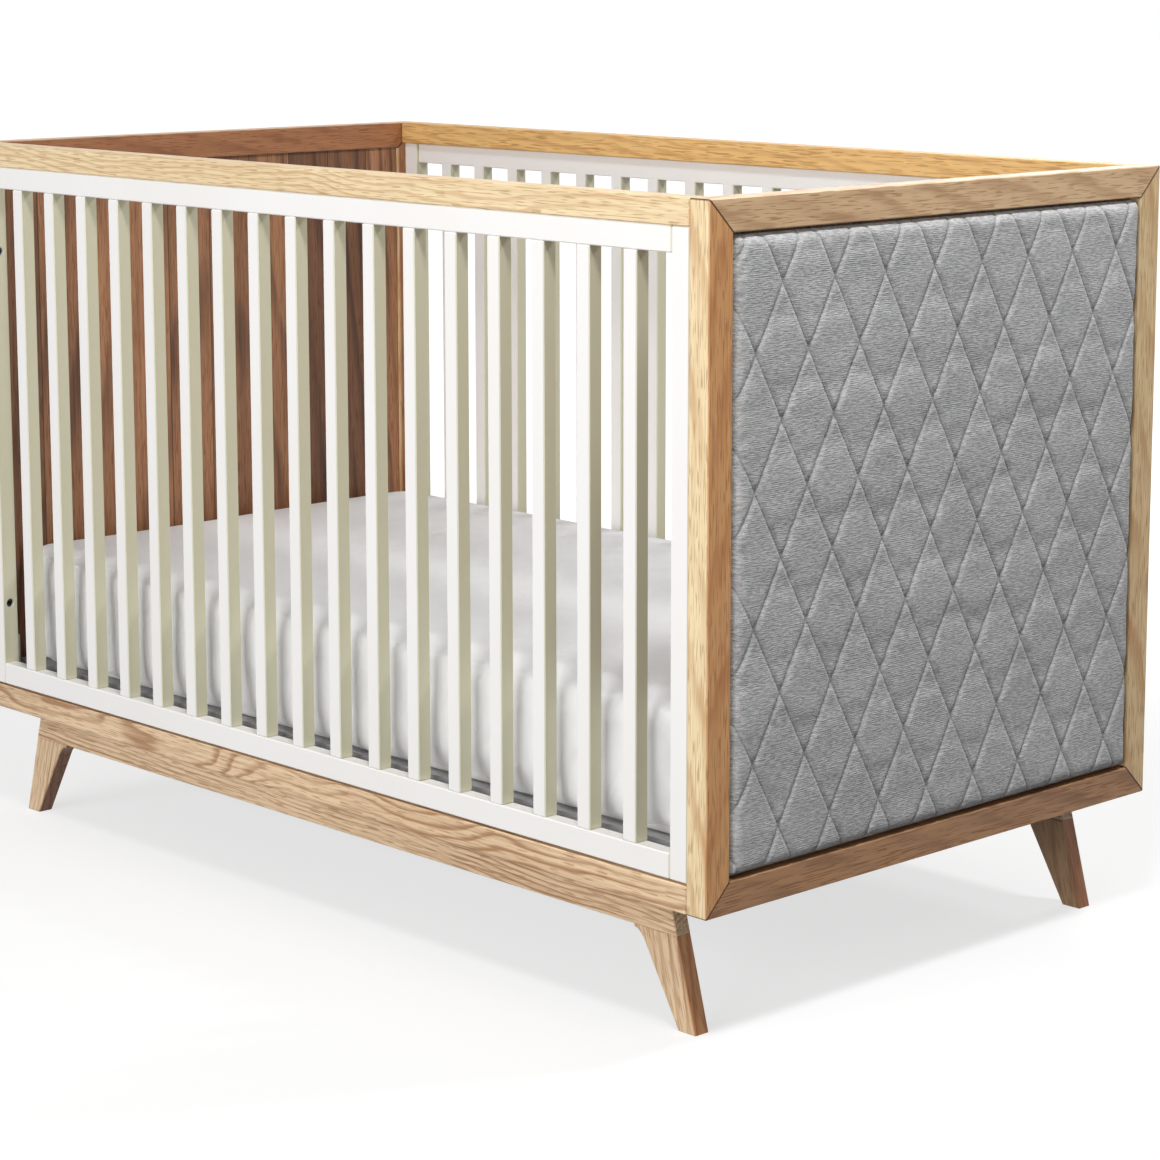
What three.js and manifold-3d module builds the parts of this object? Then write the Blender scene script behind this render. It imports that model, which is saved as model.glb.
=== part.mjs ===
// A baby crib: two upholstered oak end frames, oak long rails with white slatted
// panels between them, a splayed-leg oak base and a steel spring support for the
// mattress, which bolts to the panel stiles at one of three heights.
// Millimetres, +X to the right-hand end, +Y to the back, +Z up, floor at Z = 0.

import * as THREE from "three";
import { mergeVertices } from "three/addons/utils/BufferGeometryUtils.js";
import Module from "manifold-3d";

const wasm = await Module();
wasm.setup();

// ---------------------------------------------------------------- sizes

// The body, over its frames
const bodyLength = 1390;
const bodyWidth = 766;
const bodyHeight = 766;
const legHeight = 149; // floor to the underside of the body

// Clearances
const glueLine = 0.2; // between two pieces that are glued or screwed face to face
const runningGap = 0.3; // between the mattress support and what it passes
const mitreGap = 0.7; // across each mitred corner, measured square to it
const arris = 1.2; // chamfer on every edge of the woodwork

// End frames
const endThickness = 30;
const endMember = 36; // width of post and rail on the end's face
const innerPanelThickness = 8;
const innerPanelRecess = 6; // from the frame's inner face to the panel
const panelGroove = 8; // depth of the groove that holds the panel
const padGap = 4; // shadow line between the frame and the quilted pad
const padCorner = 5;
const padEdge = 3; // rounding of the pad's front edge

// Long rails
const railDepth = 30;
const topRailHeight = 30;
const bottomRailHeight = 31.5;
const bottomRailDepth = 60;

// Slatted panels
const panelSetBack = 1; // behind the long rails' outer face
const panelShadowGap = 2.5; // above the bottom rail
const stileWidth = 26;
const stileDepth = 23;
const slatDepth = 19;
const slatWidth = 20.5;
const slatCount = 17;
const panelRailHeight = 28.5;

// Panel bolts, which pass through the stiles into the posts
const panelBoltInset = 144; // from the body's top and bottom
const panelBoltBore = 7;
const panelBoltCounterbore = 12;
const counterboreDepth = 8;
const postBoreDepth = 20;

// Base
const baseInset = 35; // behind the body's front and back
const baseThickness = 22;
const apronHeight = 42.5;
const footInset = 50; // from the end's face to the foot's outer edge
const footWidth = 26;
const legTopWidth = 59.5;
const legSplay = THREE.MathUtils.degToRad(15);
const legCove = 8; // flare of the leg's inner edge where it meets the apron
const legCoveLip = 3; // square edge above the cove
const legCoveDrop = 14;
const crossRailInset = 164; // from the end's face to the cross rail's middle

// Mattress support, at its lowest height
const supportRise = 61; // body's underside to the face that the mattress lies on
const supportEndGap = 7; // to the end frames
const supportSideGap = 14; // to the stiles
const angleHeight = 24;
const angleFlange = 24;
const angleThickness = 2.5;
const wireDiameter = 4;
const longWireCount = 7;
const crossWireCount = 13;
const wireLap = 14; // length of wire under the flange
const wireSink = 1.2; // how far the crossing wires are welded into each other

// Hanger brackets and their bolts
const bracketWidth = 22;
const bracketThickness = 3;
const bracketShelf = 30;
const bracketAboveBolt = 14;
const supportBoltRise = 23; // bolt's height above the mattress support
const heightStep = 90; // between two holes in a stile
const heightCount = 3;
const supportBoltDiameter = 8;
const boltClearance = 0.25; // round the shank, in the bracket's hole
const boltHeadDiameter = 15;
const boltHeadHeight = 4;
const boltSocketDiameter = 5;
const boltSocketDepth = 2.5;
const insertBoreDepth = 13;

// Mattress
const mattressEndInset = 3; // from the ends of its support, which it matches in width
const mattressThickness = 161;
const mattressCorner = 45;
const mattressEdge = 16;

// ---------------------------------------------------------------- places

const bodyBottom = legHeight;
const bodyTop = legHeight + bodyHeight;
const innerHalfLength = bodyLength / 2 - endThickness;
const outerFace = bodyWidth / 2;
const openingHeight = bodyHeight - 2 * endMember;
const openingWidth = bodyWidth - 2 * endMember;
const panelFrontFace = outerFace - panelSetBack;
const stileBackFace = panelFrontFace - stileDepth;
const panelBottom = bodyBottom + bottomRailHeight + panelShadowGap;
const panelTop = bodyTop - topRailHeight - glueLine;
const stileMiddle = innerHalfLength - glueLine - stileWidth / 2;
const boltLine = panelFrontFace - stileDepth / 2;
const boltHeights = [bodyBottom + panelBoltInset, bodyTop - panelBoltInset];
const supportHeight = bodyBottom + supportRise;
const supportLength = 2 * (innerHalfLength - supportEndGap);
const supportWidth = 2 * (stileBackFace - supportSideGap);
const supportBoltHeight = supportHeight + supportBoltRise;
const mattressLength = supportLength - 2 * mattressEndInset;
const apronBottom = bodyBottom - glueLine - apronHeight;

// ---------------------------------------------------------------- materials

const finish = (color, roughness, metalness = 0) =>
  new THREE.MeshStandardMaterial({ color, roughness, metalness });
const oak = finish(0xd2a76d, 0.55);
const oakPanel = finish(0xb98c5a, 0.6);
const whitePaint = finish(0xf3efe6, 0.4);
const greyFabric = finish(0x8d8e91, 0.95);
const sheetCotton = finish(0xe9eaee, 0.9);
const powderSteel = finish(0x5c5f63, 0.5, 0.6);
const springWire = finish(0xa9abad, 0.35, 0.9);
const zincSteel = finish(0xb7b9bb, 0.3, 0.95);

// ---------------------------------------------------------------- helpers

const crib = new THREE.Group();

function addPart(name, geometry, material, x = 0, y = 0, z = 0) {
  const mesh = new THREE.Mesh(geometry, material);
  mesh.name = name;
  mesh.position.set(x, y, z);
  crib.add(mesh);
  return mesh;
}

// A closed geometry as a solid that can be joined and cut
function toSolid(geometry) {
  const bare = geometry.clone();
  bare.deleteAttribute("normal");
  bare.deleteAttribute("uv");
  const merged = mergeVertices(bare, 1e-4);
  return new wasm.Manifold(
    new wasm.Mesh({
      numProp: 3,
      vertProperties: merged.attributes.position.array,
      triVerts: new Uint32Array(merged.index.array),
    }),
  );
}

function toGeometry(solid) {
  const { vertProperties, triVerts } = solid.getMesh();
  const geometry = new THREE.BufferGeometry();
  geometry.setAttribute("position", new THREE.BufferAttribute(vertProperties, 3));
  geometry.setIndex(new THREE.BufferAttribute(triVerts, 1));
  geometry.computeVertexNormals();
  return geometry;
}

const cut = (geometry, cutters) =>
  toGeometry(cutters.reduce((rest, cutter) => rest.subtract(toSolid(cutter)), toSolid(geometry)));

// Outline of a rectangle about its middle, with its corners chamfered
function chamferedRectangle(width, height, chamfer, outline = new THREE.Shape()) {
  const [w, h] = [width / 2, height / 2];
  outline.moveTo(-w + chamfer, -h);
  outline.lineTo(w - chamfer, -h);
  outline.lineTo(w, -h + chamfer);
  outline.lineTo(w, h - chamfer);
  outline.lineTo(w - chamfer, h);
  outline.lineTo(-w + chamfer, h);
  outline.lineTo(-w, h - chamfer);
  outline.lineTo(-w, -h + chamfer);
  outline.closePath();
  return outline;
}

function roundedRectangle(width, height, radius) {
  const [w, h] = [width / 2 - radius, height / 2 - radius];
  const outline = new THREE.Shape();
  outline.absarc(w, h, radius, 0, Math.PI / 2);
  outline.absarc(-w, h, radius, Math.PI / 2, Math.PI);
  outline.absarc(-w, -h, radius, Math.PI, (3 * Math.PI) / 2);
  outline.absarc(w, -h, radius, (3 * Math.PI) / 2, 2 * Math.PI);
  outline.closePath();
  return outline;
}

// Extrusion of an outline to a total depth, about its middle, with its end edges eased
function extrude(outline, depth, ease = 0, { easeSteps = 1, curveSteps = 3 } = {}) {
  const geometry = new THREE.ExtrudeGeometry(outline, {
    depth: depth - 2 * ease,
    bevelEnabled: ease > 0,
    bevelThickness: ease,
    bevelSize: ease,
    bevelOffset: -ease,
    bevelSegments: easeSteps,
    curveSegments: curveSteps,
  });
  return geometry.translate(0, 0, -(depth / 2 - ease));
}

// Turn an extrusion so that its depth runs along X or Y; Z is the outline's upright
const alongX = (geometry) => geometry.rotateX(Math.PI / 2).rotateZ(Math.PI / 2);
const alongY = (geometry) => geometry.rotateX(Math.PI / 2);

// A straight piece of wood with every edge eased
function timber(sizeX, sizeY, sizeZ) {
  const longest = Math.max(sizeX, sizeY, sizeZ);
  if (longest === sizeX) return alongX(extrude(chamferedRectangle(sizeY, sizeZ, arris), sizeX, arris));
  if (longest === sizeY) return alongY(extrude(chamferedRectangle(sizeX, sizeZ, arris), sizeY, arris));
  return extrude(chamferedRectangle(sizeX, sizeY, arris), sizeZ, arris);
}

function bore(diameter, length, axis, x, y, z) {
  const cylinder = new THREE.CylinderGeometry(diameter / 2, diameter / 2, length, 16);
  if (axis === "x") cylinder.rotateZ(Math.PI / 2);
  return cylinder.translate(x, y, z);
}

function polygon(points) {
  return new THREE.Shape(points.map(([u, v]) => new THREE.Vector2(u, v)));
}

// ---------------------------------------------------------------- end frames

// The four members of an end are one moulded ring, cut apart at its mitres
function endRing(side) {
  const outline = chamferedRectangle(bodyWidth, bodyHeight, arris);
  outline.holes.push(chamferedRectangle(openingWidth, openingHeight, arris, new THREE.Path()));
  const ring = alongX(extrude(outline, endThickness, arris));
  const groove = new THREE.BoxGeometry(
    innerPanelThickness + 2 * glueLine,
    openingWidth + 2 * panelGroove,
    openingHeight + 2 * panelGroove,
  );
  const grooveMiddle = innerPanelRecess + innerPanelThickness / 2 - endThickness / 2;
  groove.translate(side * grooveMiddle, 0, 0);
  const bores = [-1, 1].flatMap((face) =>
    boltHeights.map((height) =>
      bore(
        panelBoltBore,
        2 * postBoreDepth,
        "x",
        (-side * endThickness) / 2,
        face * boltLine,
        height - bodyBottom - bodyHeight / 2,
      ),
    ),
  );
  return toSolid(cut(ring, [groove, ...bores]));
}

// Wedges that hold one member each, with the mitres at 45 degrees
function mitreWedge(place) {
  const spare = 5; // past the ring's outside and inside
  const back = mitreGap * Math.SQRT1_2;
  const [w, h] = [bodyWidth / 2, bodyHeight / 2];
  const inner = endMember + spare;
  if (place === "top" || place === "bottom") {
    const up = place === "top" ? 1 : -1;
    return polygon([
      [-(w + spare - back), up * (h + spare)],
      [w + spare - back, up * (h + spare)],
      [w - inner - back, up * (h - inner)],
      [-(w - inner - back), up * (h - inner)],
    ]);
  }
  const out = place === "back" ? 1 : -1;
  return polygon([
    [out * (w + spare), -(h + spare - back)],
    [out * (w + spare), h + spare - back],
    [out * (w - inner), h - inner - back],
    [out * (w - inner), -(h - inner - back)],
  ]);
}

function buildEnd(side, sideName) {
  const ring = endRing(side);
  const x = side * (bodyLength / 2 - endThickness / 2);
  const z = bodyBottom + bodyHeight / 2;
  const members = { front: "front_post", back: "back_post", top: "top_rail", bottom: "bottom_rail" };
  for (const [place, title] of Object.entries(members)) {
    const wedge = alongX(extrude(mitreWedge(place), 2 * endThickness));
    const member = ring.intersect(toSolid(wedge));
    addPart(`${sideName}_end_${title}`, toGeometry(member), oak, x, 0, z);
  }

  const panel = new THREE.BoxGeometry(
    innerPanelThickness,
    openingWidth + 2 * panelGroove - 2 * glueLine,
    openingHeight + 2 * panelGroove - 2 * glueLine,
  );
  const panelMiddle = innerHalfLength + innerPanelRecess + innerPanelThickness / 2;
  addPart(`${sideName}_end_inner_panel`, panel, oakPanel, side * panelMiddle, 0, z);

  const padThickness =
    endThickness - innerPanelRecess - innerPanelThickness - runningGap;
  const pad = extrude(
    roundedRectangle(openingWidth - 2 * padGap, openingHeight - 2 * padGap, padCorner),
    padThickness,
    padEdge,
    { easeSteps: 2 },
  );
  addPart(
    `${sideName}_end_quilted_pad`,
    alongX(pad),
    greyFabric,
    side * (bodyLength / 2 - padThickness / 2),
    0,
    z,
  );
}

// ---------------------------------------------------------------- long rails

function buildLongRails(face, faceName) {
  const length = 2 * (innerHalfLength - glueLine);
  addPart(
    `${faceName}_top_rail`,
    timber(length, railDepth, topRailHeight),
    oak,
    0,
    face * (outerFace - railDepth / 2),
    bodyTop - topRailHeight / 2,
  );
  addPart(
    `${faceName}_bottom_rail`,
    timber(length, bottomRailDepth, bottomRailHeight),
    oak,
    0,
    face * (outerFace - bottomRailDepth / 2),
    bodyBottom + bottomRailHeight / 2,
  );
}

// ---------------------------------------------------------------- slatted panels

const panelHeight = panelTop - panelBottom;
const slatLength = panelHeight - 2 * panelRailHeight - 2 * glueLine;
const slattedLength = 2 * (stileMiddle - stileWidth / 2 - glueLine);
const slatGap = (slattedLength - slatCount * slatWidth) / (slatCount + 1);
const slatPlace = (index) =>
  -slattedLength / 2 + slatGap + slatWidth / 2 + index * (slatGap + slatWidth);

// A stile, with its counterbored panel bolt holes and the threaded inserts' bores
function stile(side, face) {
  const middle = (panelBottom + panelTop) / 2;
  const blank = timber(stileWidth, stileDepth, panelHeight);
  const holes = boltHeights.flatMap((height) => [
    bore(panelBoltBore, 2 * stileWidth, "x", 0, 0, height - middle),
    bore(
      panelBoltCounterbore,
      2 * counterboreDepth,
      "x",
      (-side * stileWidth) / 2,
      0,
      height - middle,
    ),
  ]);
  for (let step = 0; step < heightCount; step++) {
    const height = supportBoltHeight + step * heightStep;
    holes.push(
      bore(
        supportBoltDiameter + 2 * boltClearance,
        2 * insertBoreDepth,
        "y",
        0,
        (-face * stileDepth) / 2,
        height - middle,
      ),
    );
  }
  return cut(blank, holes);
}

function buildStiles(face, faceName) {
  for (const [side, sideName] of [[-1, "left"], [1, "right"]]) {
    addPart(
      `${faceName}_panel_${sideName}_stile`,
      stile(side, face),
      whitePaint,
      side * stileMiddle,
      face * (panelFrontFace - stileDepth / 2),
      (panelBottom + panelTop) / 2,
    );
  }
}

// Rails and slats of one panel as placed geometries, by name
function panelGrille(face) {
  const y = face * (panelFrontFace - slatDepth / 2);
  const pieces = new Map();
  pieces.set(
    "top_rail",
    timber(slattedLength, slatDepth, panelRailHeight).translate(0, y, panelTop - panelRailHeight / 2),
  );
  pieces.set(
    "bottom_rail",
    timber(slattedLength, slatDepth, panelRailHeight).translate(0, y, panelBottom + panelRailHeight / 2),
  );
  for (let index = 0; index < slatCount; index++) {
    const number = String(index + 1).padStart(2, "0");
    pieces.set(
      `slat_${number}`,
      timber(slatWidth, slatDepth, slatLength).translate(slatPlace(index), y, (panelBottom + panelTop) / 2),
    );
  }
  return pieces;
}

// The front panel's pieces are apart; the back panel's are glued up as one
function buildPanels() {
  buildStiles(-1, "front");
  buildStiles(1, "back");
  for (const [name, geometry] of panelGrille(-1)) {
    addPart(`front_panel_${name}`, geometry, whitePaint);
  }
  const tenon = arris + glueLine; // carries each slat into the rails above and below it
  const grille = panelGrille(1);
  const rails = [grille.get("top_rail"), grille.get("bottom_rail")].map(toSolid);
  const y = panelFrontFace - slatDepth / 2;
  const slats = Array.from({ length: slatCount }, (_, index) =>
    toSolid(
      timber(slatWidth, slatDepth - 2 * glueLine, slatLength + 2 * (glueLine + 2 * tenon)).translate(
        slatPlace(index),
        y,
        (panelBottom + panelTop) / 2,
      ),
    ),
  );
  const joined = [...rails, ...slats].reduce((whole, piece) => whole.add(piece));
  addPart("back_panel_grille", toGeometry(joined), whitePaint);
}

// ---------------------------------------------------------------- base

const baseMiddle = outerFace - baseInset - baseThickness / 2;
const footOuter = bodyLength / 2 - footInset;
const legOuterAt = (height) => footOuter - height * Math.tan(legSplay);

function apron() {
  const [top, bottom] = [bodyBottom - glueLine, apronBottom];
  const outline = polygon([
    [-legOuterAt(bottom), bottom],
    [legOuterAt(bottom), bottom],
    [legOuterAt(top), top],
    [-legOuterAt(top), top],
  ]);
  return alongY(extrude(outline, baseThickness, arris));
}

// A flat leg that leans outwards, tapers to the foot and coves into the apron
function leg(side) {
  const top = apronBottom - glueLine;
  const outerTop = legOuterAt(top);
  const innerTop = outerTop - legTopWidth;
  const innerFoot = footOuter - footWidth;
  const coveTop = top - legCoveLip;
  const coveEnd = innerTop + ((innerFoot - innerTop) * legCoveDrop) / top;
  const outline = new THREE.Shape();
  outline.moveTo(side * footOuter, 0);
  outline.lineTo(side * outerTop, top);
  outline.lineTo(side * (innerTop - legCove), top);
  outline.lineTo(side * (innerTop - legCove), coveTop);
  outline.quadraticCurveTo(side * innerTop, coveTop, side * coveEnd, top - legCoveDrop);
  outline.lineTo(side * innerFoot, 0);
  outline.closePath();
  return alongY(extrude(outline, baseThickness, arris, { curveSteps: 6 }));
}

function buildBase() {
  for (const [face, faceName] of [[-1, "front"], [1, "back"]]) {
    addPart(`${faceName}_apron`, apron(), oak, 0, face * baseMiddle, 0);
    for (const [side, sideName] of [[-1, "left"], [1, "right"]]) {
      addPart(`${faceName}_${sideName}_leg`, leg(side), oak, 0, face * baseMiddle, 0);
    }
  }
  const length = 2 * (baseMiddle - baseThickness / 2 - glueLine);
  for (const [side, sideName] of [[-1, "left"], [1, "right"]]) {
    addPart(
      `base_${sideName}_cross_rail`,
      timber(baseThickness, length, apronHeight),
      oak,
      side * (bodyLength / 2 - crossRailInset),
      0,
      apronBottom + apronHeight / 2,
    );
  }
}

// ---------------------------------------------------------------- mattress support

const angleBottom = supportHeight - angleHeight;

// Angle steel welded into a rectangle, flange inwards at the top
function supportFrame() {
  const wall = polygon([
    [-supportLength / 2, -supportWidth / 2],
    [supportLength / 2, -supportWidth / 2],
    [supportLength / 2, supportWidth / 2],
    [-supportLength / 2, supportWidth / 2],
  ]);
  const inside = (inset) =>
    new THREE.BoxGeometry(supportLength - 2 * inset, supportWidth - 2 * inset, 2 * angleHeight);
  const block = extrude(wall, angleHeight).translate(0, 0, angleHeight / 2);
  const underFlange = inside(angleThickness).translate(0, 0, -angleThickness);
  const opening = inside(angleFlange);
  return cut(block, [underFlange, opening]);
}

// Round wires welded where they cross, whose ends lie under the flange
function springDeck() {
  const wires = [];
  const lap = angleFlange - wireLap;
  const reachX = supportLength - 2 * lap;
  const reachY = supportWidth - 2 * lap;
  const layer = wireDiameter - wireSink; // the long wires lie below the cross wires
  const wire = (length) =>
    new THREE.CylinderGeometry(wireDiameter / 2, wireDiameter / 2, length, 8);
  for (let index = 0; index < longWireCount; index++) {
    const y = (((index + 1) / (longWireCount + 1)) - 0.5) * (supportWidth - 2 * angleFlange);
    wires.push(wire(reachX).rotateZ(Math.PI / 2).translate(0, y, -layer));
  }
  for (let index = 0; index < crossWireCount; index++) {
    const x = (((index + 1) / (crossWireCount + 1)) - 0.5) * (supportLength - 2 * angleFlange);
    wires.push(wire(reachY).translate(x, 0, 0));
  }
  return toGeometry(wires.map(toSolid).reduce((whole, piece) => whole.add(piece)));
}

// Strap that hangs the frame from a stile: a bolted plate with a shelf at its foot
function hangerBracket(face) {
  const plateFace = stileBackFace - runningGap; // against the stile
  const shelfTop = angleBottom - glueLine;
  const plateTop = supportBoltHeight + bracketAboveBolt;
  const plateInner = plateFace - bracketThickness;
  const outline = polygon([
    [face * plateFace, shelfTop - bracketThickness],
    [face * plateFace, plateTop],
    [face * plateInner, plateTop],
    [face * plateInner, shelfTop],
    [face * (plateFace - bracketShelf), shelfTop],
    [face * (plateFace - bracketShelf), shelfTop - bracketThickness],
  ]);
  const hole = bore(
    supportBoltDiameter + 2 * boltClearance,
    4 * bracketThickness,
    "y",
    0,
    face * plateFace,
    supportBoltHeight,
  );
  return cut(alongX(extrude(outline, bracketWidth)), [hole]);
}

// Button-head bolt with a round driving socket, its head towards the mattress
function supportBolt(face) {
  const [shank, head] = [supportBoltDiameter / 2, boltHeadDiameter / 2];
  const profile = [
    [0, 0],
    [shank, 0],
    [shank, bracketThickness],
    [head, bracketThickness + glueLine],
    [head, bracketThickness + boltHeadHeight / 3],
    [head * 0.6, bracketThickness + boltHeadHeight],
    [boltSocketDiameter / 2, bracketThickness + boltHeadHeight],
    [boltSocketDiameter / 2, bracketThickness + boltHeadHeight - boltSocketDepth],
    [0, bracketThickness + boltHeadHeight - boltSocketDepth],
  ];
  const bolt = new THREE.LatheGeometry(
    profile.map(([radius, height]) => new THREE.Vector2(radius, height)),
    16,
  );
  return face < 0 ? bolt : bolt.rotateX(Math.PI);
}

function buildSupport() {
  addPart("mattress_support_frame", supportFrame(), powderSteel, 0, 0, angleBottom);
  addPart(
    "mattress_support_springs",
    springDeck(),
    springWire,
    0,
    0,
    supportHeight - angleThickness - glueLine - wireDiameter / 2,
  );
  for (const [face, faceName] of [[-1, "front"], [1, "back"]]) {
    for (const [side, sideName] of [[-1, "left"], [1, "right"]]) {
      const x = side * stileMiddle;
      const y = face * (stileBackFace - runningGap);
      addPart(`${faceName}_${sideName}_hanger_bracket`, hangerBracket(face), powderSteel, x, 0, 0);
      addPart(
        `${faceName}_${sideName}_support_bolt`,
        supportBolt(face),
        zincSteel,
        x,
        y,
        supportBoltHeight,
      );
    }
  }
}

// ---------------------------------------------------------------- mattress

function buildMattress() {
  const form = extrude(
    roundedRectangle(mattressLength, supportWidth, mattressCorner),
    mattressThickness,
    mattressEdge,
    { easeSteps: 3, curveSteps: 5 },
  );
  addPart(
    "mattress",
    form,
    sheetCotton,
    0,
    0,
    supportHeight + runningGap + mattressThickness / 2,
  );
}

// ---------------------------------------------------------------- assembly

for (const [side, sideName] of [[-1, "left"], [1, "right"]]) {
  buildEnd(side, sideName);
}
for (const [face, faceName] of [[-1, "front"], [1, "back"]]) {
  buildLongRails(face, faceName);
}
buildPanels();
buildBase();
buildSupport();
buildMattress();

export default crib;
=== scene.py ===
# %% [markdown]
# # A baby crib with quilted ends
#
# The crib has oak end frames filled with quilted pads, oak rails, white slatted
# panels, splayed oak legs, a spring support and a mattress in a fitted sheet.
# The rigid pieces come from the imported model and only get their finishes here.
# The pads, the mattress, its sheet and the small hardware are modelled below.

# %% Load the rigid pieces
import math

import bmesh
import bpy
from mathutils import Matrix, Vector, noise


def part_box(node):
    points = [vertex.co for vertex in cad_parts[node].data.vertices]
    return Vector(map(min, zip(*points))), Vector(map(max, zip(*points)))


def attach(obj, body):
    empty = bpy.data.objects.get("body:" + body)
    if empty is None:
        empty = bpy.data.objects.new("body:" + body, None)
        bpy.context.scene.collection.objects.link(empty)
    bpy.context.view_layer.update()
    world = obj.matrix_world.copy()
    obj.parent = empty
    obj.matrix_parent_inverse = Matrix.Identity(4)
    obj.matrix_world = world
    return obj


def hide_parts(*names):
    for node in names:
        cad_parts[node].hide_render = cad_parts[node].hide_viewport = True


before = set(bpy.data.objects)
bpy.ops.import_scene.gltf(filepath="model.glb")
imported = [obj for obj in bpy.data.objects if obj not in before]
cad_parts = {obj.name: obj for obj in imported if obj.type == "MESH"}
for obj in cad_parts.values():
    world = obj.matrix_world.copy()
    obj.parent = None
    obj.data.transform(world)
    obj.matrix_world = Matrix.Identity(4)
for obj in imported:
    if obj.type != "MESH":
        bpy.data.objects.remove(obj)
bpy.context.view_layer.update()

CRIB, SUPPORT, MATTRESS = "crib", "mattress_support", "mattress"

# %% [markdown]
# ## Camera
#
# The eye stands 1.2 m up, in front of the right-hand end, and looks down a
# little. A long lens keeps the uprights nearly parallel. The lens shift lowers
# the frame by a tenth of its height, so less tilt is needed.

# %% Camera
EYE = Vector((2.9603, -2.7029, 1.1638))
HEADING, PITCH = math.radians(136.23), math.radians(-9.14)

lens = bpy.data.cameras.new("studio_camera")
lens.sensor_width = 36.0
lens.lens = 98.26
lens.shift_x, lens.shift_y = -0.0206, -0.1013
camera = bpy.data.objects.new("studio_camera", lens)
level = Vector((math.cos(HEADING), math.sin(HEADING), 0))
gaze = level * math.cos(PITCH) + Vector((0, 0, math.sin(PITCH)))
camera.location = EYE
camera.rotation_euler = gaze.to_track_quat("-Z", "Y").to_euler()
bpy.context.collection.objects.link(camera)
bpy.context.scene.camera = camera
print("camera stands", round(EYE.length, 2), "m from the crib's middle")

# %% [markdown]
# ## Shader nodes in few words
#
# Every finish below is a node tree. A helper that makes a node, sets its
# options and fills or links its inputs keeps each finish down to its own idea.

# %% Node helper
def put(tree, kind, inputs=None, **options):
    made = tree.nodes.new("ShaderNode" + kind)
    for option, value in options.items():
        setattr(made, option, value)
    for socket, value in (inputs or {}).items():
        if isinstance(value, bpy.types.NodeSocket):
            tree.links.new(value, made.inputs[socket])
        else:
            made.inputs[socket].default_value = value
    return made


def calc(tree, operation, *values, clamp=False):
    return put(tree, "Math", dict(enumerate(values)), operation=operation, use_clamp=clamp).outputs[0]


def stretch(tree, vector, factors):
    return put(tree, "VectorMath", {0: vector, 1: factors}, operation="MULTIPLY").outputs[0]


def cloud(tree, vector, factors, detail=2.0):
    return put(tree, "TexNoise", {"Vector": stretch(tree, vector, factors), "Scale": 1.0, "Detail": detail})


def ease(tree, value, low, high, start=0.0, end=1.0):
    sockets = {"Value": value, "From Min": low, "From Max": high, "To Min": start, "To Max": end}
    return put(tree, "MapRange", sockets, interpolation_type="SMOOTHSTEP").outputs["Result"]


def blend(tree, share, first, second, mode="MIX"):
    sockets = {0: share, 6: first, 7: second}
    return put(tree, "Mix", sockets, data_type="RGBA", blend_type=mode).outputs[2]


def new_group(name, inputs, outputs):
    tree = bpy.data.node_groups.new(name, "ShaderNodeTree")
    for title, kind, value in inputs:
        socket = tree.interface.new_socket(name=title, in_out="INPUT", socket_type="NodeSocket" + kind)
        if value is not None:
            socket.default_value = value
    for title, kind in outputs:
        tree.interface.new_socket(name=title, in_out="OUTPUT", socket_type="NodeSocket" + kind)
    return tree, tree.nodes.new("NodeGroupInput").outputs, tree.nodes.new("NodeGroupOutput").inputs


def new_finish(name, **constants):
    material = bpy.data.materials.new(name)
    material.use_nodes = True
    tree = material.node_tree
    shader = tree.nodes["Principled BSDF"]
    for socket, value in constants.items():
        shader.inputs[socket.replace("_", " ")].default_value = value
    return material, tree, shader


def place_group(tree, group, inputs):
    return put(tree, "Group", inputs, node_tree=group).outputs


def object_space(tree):
    return put(tree, "TexCoord").outputs["Object"]


def parts(tree, vector):
    return put(tree, "SeparateXYZ", {0: vector}).outputs


def raise_skin(tree, shader, height, distance, strength):
    bump = put(tree, "Bump", {"Height": height, "Distance": distance, "Strength": strength})
    tree.links.new(bump.outputs[0], shader.inputs["Normal"])


print("node helpers ready")

# %% [markdown]
# ## Oak
#
# Oak shows three things at once: year rings, dark pores that run along the
# grain, and slow changes of tone from board to board. A flat noise can't bend
# the way real figure does, so the rings are cylinders round a pith line that
# lies outside the board. A board cut across them shows arches, and a board cut
# beside them shows straight lines. In this group X runs along the grain.

# %% Oak figure group
oak_figure, given, result = new_group(
    "oak_figure",
    [
        ("Vector", "Vector", None),
        ("Ring Width", "Float", 0.004),
        ("Waviness", "Float", 0.01),
        ("Pale", "Color", (0.8, 0.6, 0.35, 1)),
        ("Dark", "Color", (0.4, 0.2, 0.08, 1)),
        ("Contrast", "Float", 1.0),
    ],
    [("Color", "Color"), ("Roughness", "Float"), ("Height", "Float")],
)
grain = given["Vector"]
PORE_BROWN = (0.42, 0.25, 0.13, 1)


def oak(operation, *values, clamp=False):
    return calc(oak_figure, operation, *values, clamp=clamp)


def oak_cloud(along, across, detail=2.0):
    return cloud(oak_figure, grain, (along, across, across), detail).outputs


def moved(operation, first, second):
    return put(oak_figure, "VectorMath", {0: first, 1: second}, operation=operation).outputs


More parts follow.
